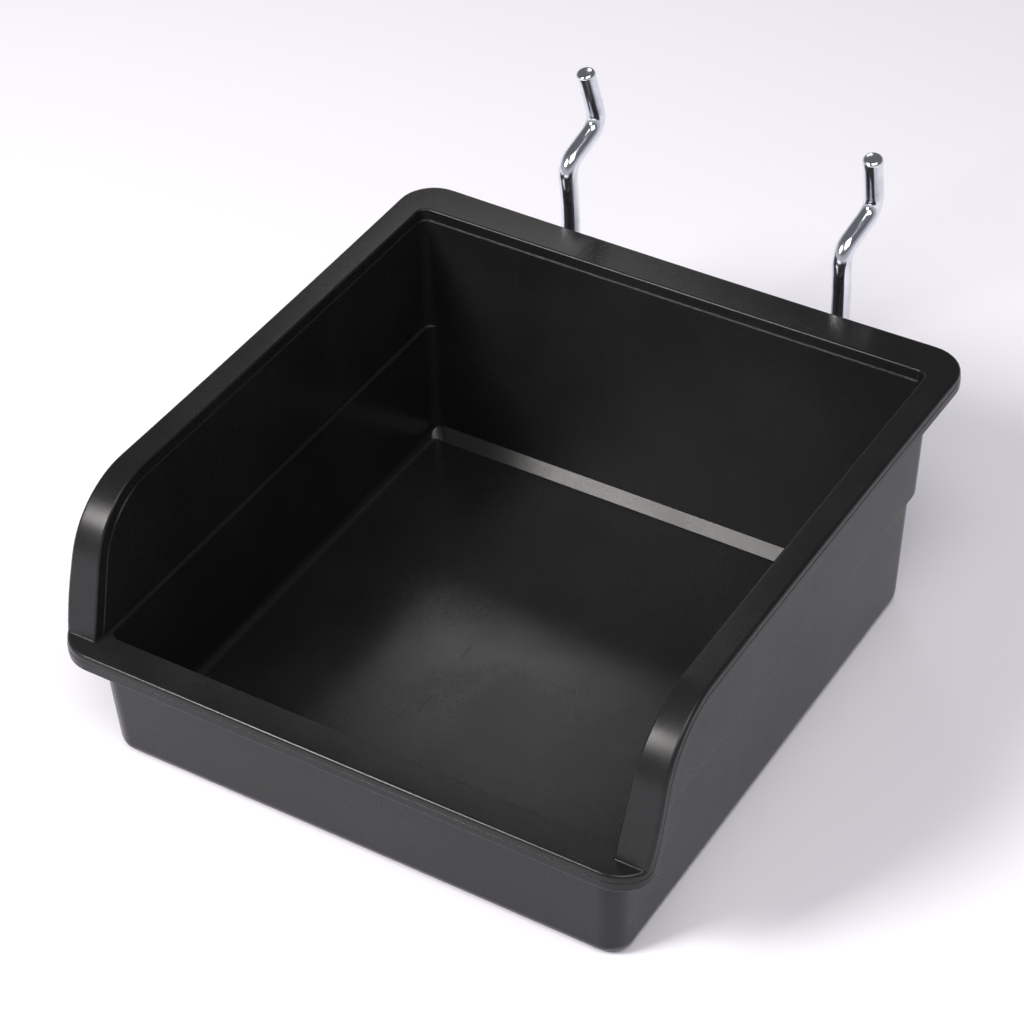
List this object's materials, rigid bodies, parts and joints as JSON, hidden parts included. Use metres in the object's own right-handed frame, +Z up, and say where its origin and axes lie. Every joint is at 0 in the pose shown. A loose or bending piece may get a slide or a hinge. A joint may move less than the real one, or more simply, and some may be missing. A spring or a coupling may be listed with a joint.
{
  "type": "pegboard storage bin",
  "caption": "Open-front black plastic bin that hangs on a pegboard from bent wire hooks behind its rim.",
  "frame": {"origin": "centre of the flat face that the bin stands on", "axes": "+Z up, -Y out of the open front, +Y towards the pegboard, X across"},
  "size_m": [0.155, 0.1858, 0.1009],
  "materials": {
    "bin_plastic": "satin black moulded polypropylene with a fine grain",
    "hook_plating": "bright plated steel wire"
  },
  "bodies": {
    "bin": {"bin": "bin_plastic"},
    "hook_left": {"hook_left": "hook_plating"},
    "hook_right": {"hook_right": "hook_plating"}
  },
  "joints": [
    {"name": "hook_left_pull", "type": "slide", "parent": "bin", "child": "hook_left", "axis": [0, 0, -1], "range_m": [0, 0.024]},
    {"name": "hook_right_pull", "type": "slide", "parent": "bin", "child": "hook_right", "axis": [0, 0, -1], "range_m": [0, 0.024]}
  ]
}
